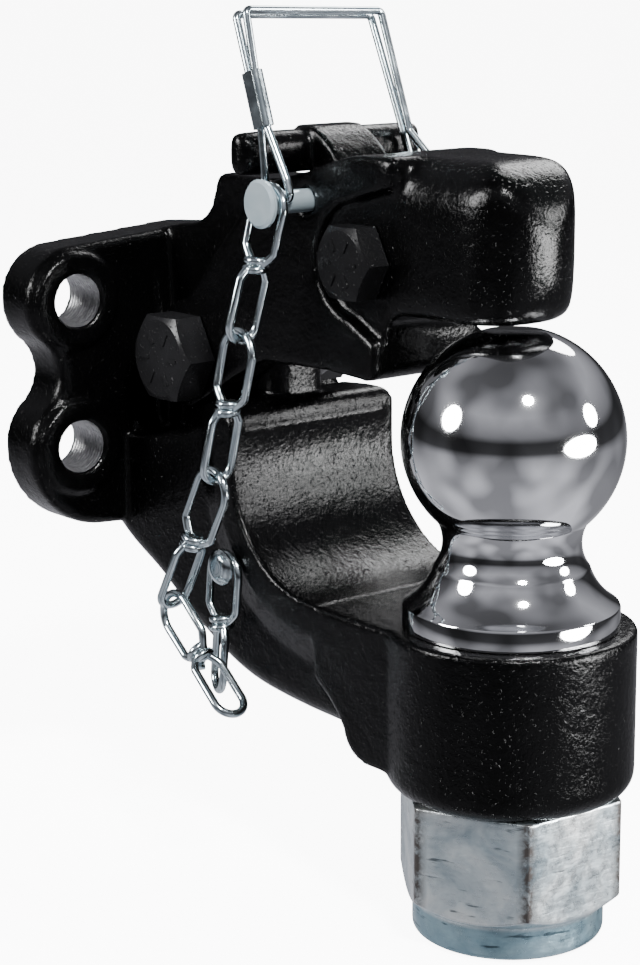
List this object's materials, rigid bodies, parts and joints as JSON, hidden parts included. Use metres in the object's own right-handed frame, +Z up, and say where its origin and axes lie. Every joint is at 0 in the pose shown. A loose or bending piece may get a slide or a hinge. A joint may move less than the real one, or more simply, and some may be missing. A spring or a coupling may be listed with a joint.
{
  "type": "combination pintle hook and ball hitch",
  "caption": "Bolt-on trailer hitch: forged pintle saddle with a chrome ball, hinged upper jaw, sprung latch, and a bail pin held by a short chain.",
  "frame": {"origin": "centre of the four-bolt pattern on the rear mounting face", "axes": "+X from the mounting face towards the ball, +Z up, -Y the side of the bolt heads and the chain"},
  "size_m": [0.1869, 0.117, 0.2434],
  "materials": {
    "black_forging": "gloss black powder coat over a forging",
    "black_jaw": "gloss black powder coat over a forging",
    "black_latch": "gloss black powder coat",
    "spring_steel": "drawn wire",
    "black_bolt": "black coated",
    "bronze_bush": "plain",
    "ball_chrome": "mirror",
    "zinc_nut": "bright zinc plate",
    "nylon_insert": "plain",
    "zinc_pin": "bright zinc plate",
    "zinc_wire": "bright zinc plate",
    "zinc_chain": "bright zinc plate"
  },
  "bodies": {
    "body": {"hitch_body": "black_forging", "jaw_pivot_bolt": "black_bolt", "jaw_pivot_nut": "black_bolt", "jaw_pivot_bushing": "bronze_bush", "hitch_ball": "ball_chrome", "ball_nut": "zinc_nut", "ball_nut_insert": "nylon_insert", "chain_rivet": "zinc_pin"},
    "jaw": {"upper_jaw": "black_jaw", "latch_pivot_bolt": "black_bolt", "latch_pivot_nut": "black_bolt", "latch_spring": "spring_steel"},
    "latch_lever": {"latch": "black_latch"},
    "pin": {"lock_pin": "zinc_pin", "pin_bail": "zinc_wire", "bail_ferrule": "zinc_pin"},
    "link_1": {"chain_link_1": "zinc_chain"},
    "link_2": {"chain_link_2": "zinc_chain"},
    "link_3": {"chain_link_3": "zinc_chain"},
    "link_4": {"chain_link_4": "zinc_chain"},
    "link_5": {"chain_link_5": "zinc_chain"}
  },
  "joints": [
    {"name": "jaw_open", "type": "hinge", "parent": "body", "child": "jaw", "pos_m": [0.0383, 0, 0.0061], "axis": [0, -1, 0], "range_deg": [0, 58]},
    {"name": "latch_lift", "type": "hinge", "parent": "jaw", "child": "latch_lever", "pos_m": [0.1133, 0, 0.0404], "axis": [0, 1, 0], "range_deg": [0, 20], "stiffness_Nm_per_rad": 0.25, "springref_deg": -34.38},
    {"name": "pin_turn", "type": "hinge", "parent": "jaw", "child": "pin", "pos_m": [0.093, 0, 0.055], "axis": [0, 1, 0], "range_deg": [0, 40]},
    {"name": "chain_1_swing", "type": "hinge", "parent": "jaw", "child": "link_1", "pos_m": [0.093, -0.0314, 0.055], "axis": [0, 1, 0], "range_deg": [-12, 12]},
    {"name": "chain_2_swing", "type": "hinge", "parent": "link_1", "child": "link_2", "pos_m": [0.0864, -0.0375, 0.018], "axis": [0, 1, 0], "range_deg": [-15, 15]},
    {"name": "chain_3_swing", "type": "hinge", "parent": "link_2", "child": "link_3", "pos_m": [0.0791, -0.041, -0.0213], "axis": [0, 1, 0], "range_deg": [-15, 15]},
    {"name": "chain_4_swing", "type": "hinge", "parent": "link_3", "child": "link_4", "pos_m": [0.06, -0.043, -0.06], "axis": [0, 1, 0], "range_deg": [-15, 15]},
    {"name": "chain_5_swing", "type": "hinge", "parent": "body", "child": "link_5", "pos_m": [0.0705, -0.0315, -0.0487], "axis": [0, 1, 0], "range_deg": [-12, 12]}
  ],
  "couplings": [
    {"joint": "pin_turn", "follows": "latch_lift", "ratio": 2}
  ]
}
